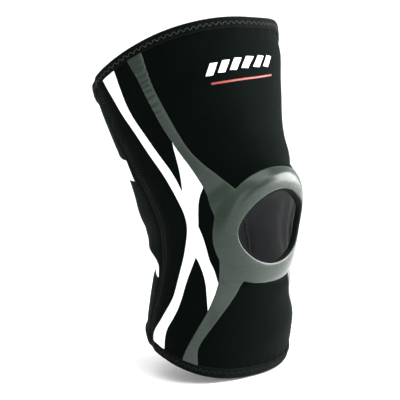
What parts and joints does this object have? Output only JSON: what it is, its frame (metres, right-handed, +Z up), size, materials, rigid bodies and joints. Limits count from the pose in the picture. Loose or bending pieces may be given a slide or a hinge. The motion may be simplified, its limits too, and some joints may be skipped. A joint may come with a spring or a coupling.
{
  "type": "knee brace",
  "caption": "Slip-on knee sleeve of laminated foam fabric with an open kneecap window, a bonded elastomer ring and arms, side seams and taped hems.",
  "frame": {"origin": "the middle of the knee, on the middle line of the leg that the sleeve is worn on", "axes": "+Z up the leg towards the thigh, -Y the front of the knee, X across the knee; at rest the knee is bent 24 degrees"},
  "size_m": [0.1696, 0.1777, 0.2866],
  "materials": {
    "foam_core": "closed-cell foam rubber, seen only at cut edges",
    "jersey": "black nylon jersey with a fine rib",
    "lining": "charcoal loop jersey",
    "hem_tape": "black woven binding tape",
    "hem_thread": "light grey zigzag thread",
    "dark_thread": "charcoal thread",
    "seam_thread": "dark flatlock thread",
    "binding_tape": "black stretch binding",
    "buttress_foam": "soft foam under lining cloth",
    "grey_elastomer": "satin grey silicone elastomer",
    "white_elastomer": "matt white silicone elastomer",
    "white_print": "white transfer print",
    "red_print": "red transfer print",
    "label_cloth": "white woven label, blank"
  },
  "bodies": {
    "thigh": {"thigh_front_foam": "foam_core", "thigh_front_jersey": "jersey", "thigh_front_lining": "lining", "thigh_back_foam": "foam_core", "thigh_back_jersey": "jersey", "thigh_back_lining": "lining", "knee_front_foam": "foam_core", "knee_front_jersey": "jersey", "knee_front_lining": "lining", "knee_back_foam": "foam_core", "knee_back_jersey": "jersey", "knee_back_lining": "lining", "thigh_hem": "hem_tape", "thigh_hem_stitching": "hem_thread", "thigh_seam_outer": "seam_thread", "thigh_seam_inner": "seam_thread", "knee_seam_outer": "seam_thread", "knee_seam_inner": "seam_thread", "opening_binding": "binding_tape", "opening_stitching": "dark_thread", "patella_buttress": "buttress_foam", "grey_patella_ring": "grey_elastomer", "grey_arm_roots_outer": "grey_elastomer", "grey_arm_roots_inner": "grey_elastomer", "grey_thigh_arm_outer": "grey_elastomer", "grey_thigh_arm_inner": "grey_elastomer", "white_cross_outer": "white_elastomer", "white_cross_inner": "white_elastomer", "white_thigh_arm_outer": "white_elastomer", "white_thigh_arm_inner": "white_elastomer", "white_back_upper": "white_elastomer", "white_back_lower": "white_elastomer", "print_bars": "white_print", "print_line": "red_print", "care_label": "label_cloth"},
    "calf": {"calf_front_foam": "foam_core", "calf_front_jersey": "jersey", "calf_front_lining": "lining", "calf_back_foam": "foam_core", "calf_back_jersey": "jersey", "calf_back_lining": "lining", "calf_hem": "hem_tape", "calf_hem_stitching": "dark_thread", "calf_seam_outer": "seam_thread", "calf_seam_inner": "seam_thread", "grey_calf_arm_outer": "grey_elastomer", "grey_calf_arm_inner": "grey_elastomer", "white_calf_arm_outer": "white_elastomer", "white_calf_arm_inner": "white_elastomer"}
  },
  "joints": [
    {"name": "knee_flex", "type": "hinge", "parent": "thigh", "child": "calf", "pos_m": [0, 0.01, 0], "axis": [1, 0, 0], "range_deg": [-24, 66], "stiffness_Nm_per_rad": 1, "deforming": ["knee_front_foam", "knee_front_jersey", "knee_front_lining", "knee_back_foam", "knee_back_jersey", "knee_back_lining", "knee_seam_outer", "knee_seam_inner", "opening_binding", "opening_stitching", "patella_buttress", "grey_patella_ring", "grey_arm_roots_outer", "grey_arm_roots_inner", "white_cross_outer", "white_cross_inner", "white_back_lower"]}
  ]
}
